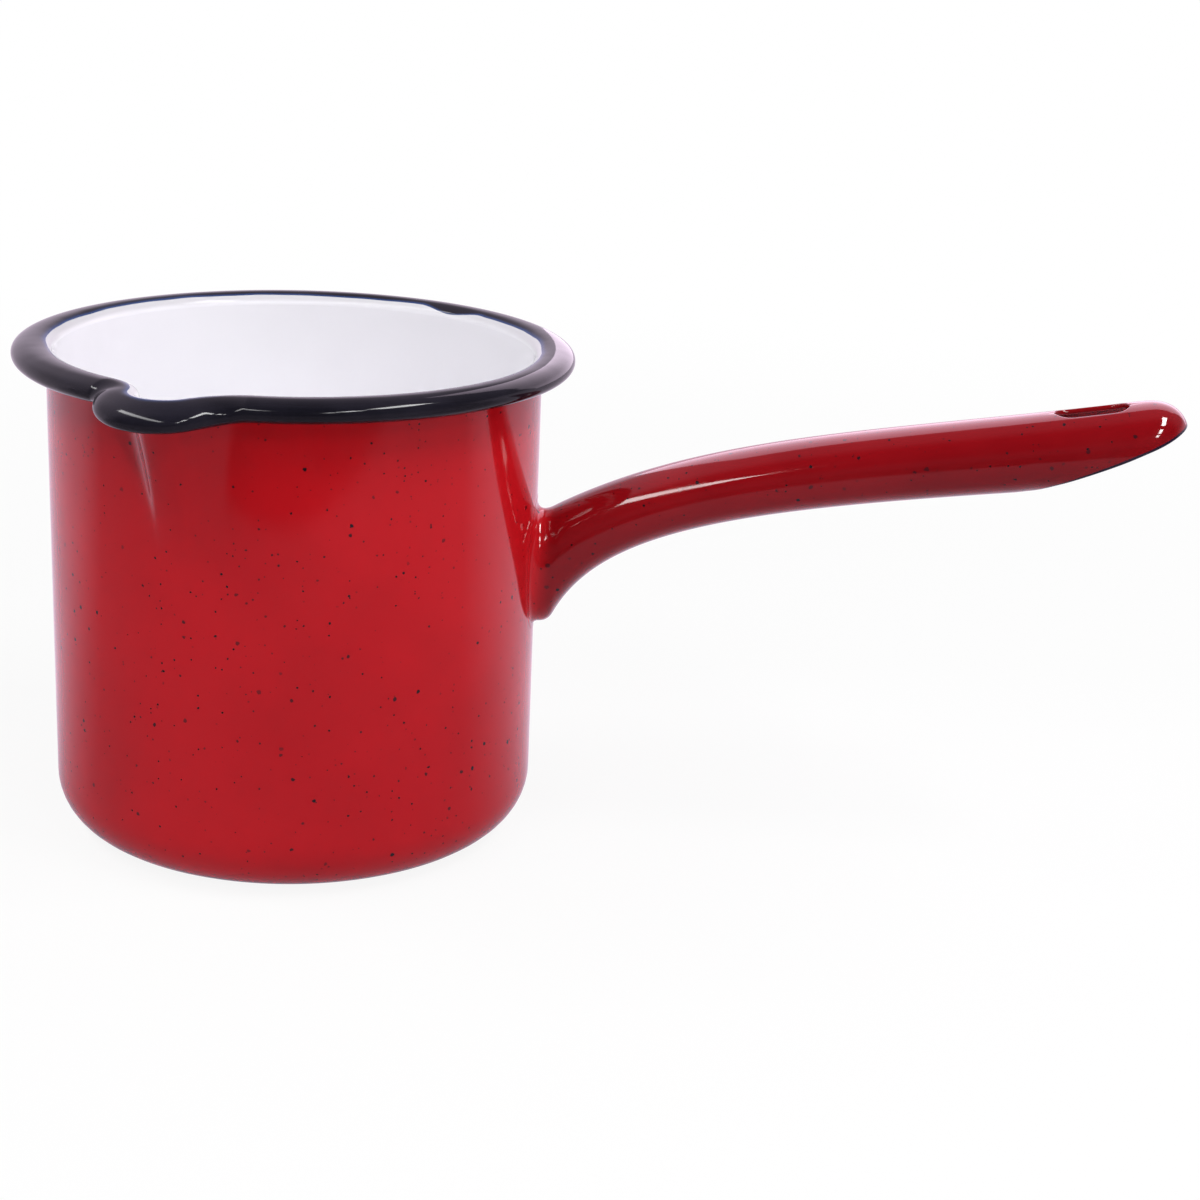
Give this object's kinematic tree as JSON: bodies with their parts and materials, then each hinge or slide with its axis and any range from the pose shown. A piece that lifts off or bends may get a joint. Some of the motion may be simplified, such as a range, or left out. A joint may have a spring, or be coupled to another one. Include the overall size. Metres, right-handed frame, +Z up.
{
  "type": "turkish coffee pot",
  "caption": "Straight-walled enamelled steel pot for brewing coffee on a hob, with a rolled rim, a pressed pouring lip at the side and a long hollow handle with a hanging slot.",
  "frame": {"origin": "centre of the flat underside of the base", "axes": "+Z up along the axis of the pot, +X along the handle, pouring lip on the -Y side"},
  "size_m": [0.2384, 0.1186, 0.1021],
  "materials": {
    "red_enamel": "glossy speckled vitreous enamel on steel",
    "white_enamel": "glossy vitreous enamel",
    "black_enamel": "glossy vitreous enamel on steel"
  },
  "bodies": {
    "root": {"pot_body": "red_enamel", "inner_lining": "white_enamel", "rolled_rim": "black_enamel", "handle_shell": "red_enamel", "foot_weld": "red_enamel"}
  },
  "joints": []
}
